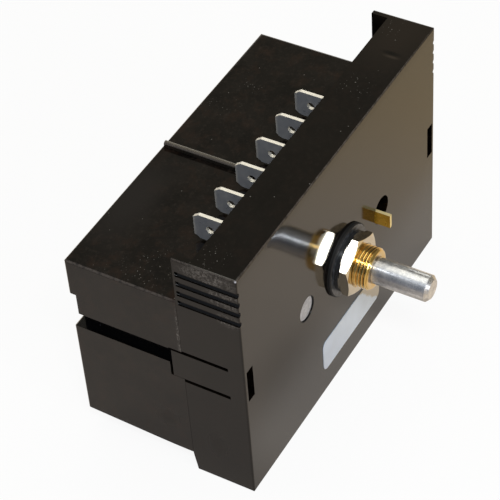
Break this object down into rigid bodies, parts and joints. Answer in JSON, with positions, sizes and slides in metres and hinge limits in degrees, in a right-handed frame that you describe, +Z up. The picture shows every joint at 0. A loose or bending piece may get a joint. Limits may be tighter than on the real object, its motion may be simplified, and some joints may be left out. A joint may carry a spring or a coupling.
{
  "type": "oven thermostat",
  "caption": "Moulded electronic oven thermostat box with a threaded bushing, a round control shaft and a row of flat tab terminals.",
  "frame": {"origin": "on the shaft's axis, at the plane of the housing's front face", "axes": "+X along the long side towards the end near the locating lug, +Y to the rear, so that the shaft points along -Y, +Z up towards the tab terminals"},
  "size_m": [0.086, 0.0615, 0.063],
  "materials": {
    "housing": "glossy moulded thermoset, brown-black",
    "label": "satin foil",
    "plug": "satin",
    "shaft": "turned",
    "brass": "machined",
    "nut": "nickel plated",
    "black_steel": "black oxide",
    "sheet_steel": "plated",
    "tinned": "tinned",
    "brown_plastic": "moulded",
    "carbon": "matte",
    "board": "satin",
    "trimmer_blue": "satin",
    "cream_plastic": "satin",
    "lamination": "oxide",
    "copper": "enamelled wire",
    "black_plastic": "matte",
    "relay_blue": "gloss",
    "sleeve": "shrink sleeve",
    "yellow_plastic": "gloss",
    "tan_lacquer": "lacquer",
    "blue_lacquer": "lacquer"
  },
  "bodies": {
    "case": {"front_housing": "housing", "rear_housing": "housing", "label": "label", "calibration_plug": "plug", "threaded_bushing": "brass", "hex_nut": "nut", "lock_washer": "black_steel", "panel_washer": "black_steel", "mounting_plate": "brass", "pot_can": "sheet_steel", "element_wafer": "brown_plastic", "carbon_track": "carbon", "pot_terminals": "tinned", "circuit_board": "board", "tab_terminal_1": "tinned", "tab_terminal_2": "tinned", "tab_terminal_3": "tinned", "tab_terminal_4": "tinned", "tab_terminal_5": "tinned", "tab_terminal_6": "tinned", "trimmer_body": "trimmer_blue", "transformer_core": "lamination", "transformer_bobbin": "cream_plastic", "primary_winding": "copper", "secondary_winding": "copper", "transformer_pins": "tinned", "relay_base": "black_plastic", "relay_bobbin": "cream_plastic", "relay_coil": "copper", "relay_core": "sheet_steel", "relay_yoke": "sheet_steel", "relay_spring": "copper", "closing_contact": "brass", "resting_contact": "brass", "relay_cover": "relay_blue", "reservoir_capacitor": "sleeve", "film_capacitor": "yellow_plastic", "control_chip": "black_plastic", "rectifier_diodes": "black_plastic", "resistors": "tan_lacquer", "varistor": "blue_lacquer"},
    "shaft": {"control_shaft": "shaft", "retaining_ring": "sheet_steel", "pot_rotor": "brown_plastic", "wiper": "copper"},
    "trimmer": {"trimmer_rotor": "cream_plastic"},
    "armature": {"relay_armature": "sheet_steel", "moving_contact": "copper"}
  },
  "joints": [
    {"name": "shaft_turn", "type": "hinge", "parent": "case", "child": "shaft", "pos_m": [0, 0, 0], "axis": [0, 1, 0], "range_deg": [-140, 140]},
    {"name": "trimmer_turn", "type": "hinge", "parent": "case", "child": "trimmer", "pos_m": [-0.0172, 0.0039, 0.0007], "axis": [0, 1, 0], "range_deg": [-120, 120]},
    {"name": "armature_tilt", "type": "hinge", "parent": "case", "child": "armature", "pos_m": [-0.0305, 0.0223, 0.0009], "axis": [-1, 0, 0], "range_deg": [0, 2], "stiffness_Nm_per_rad": 0.02, "springref_deg": -5.73}
  ]
}
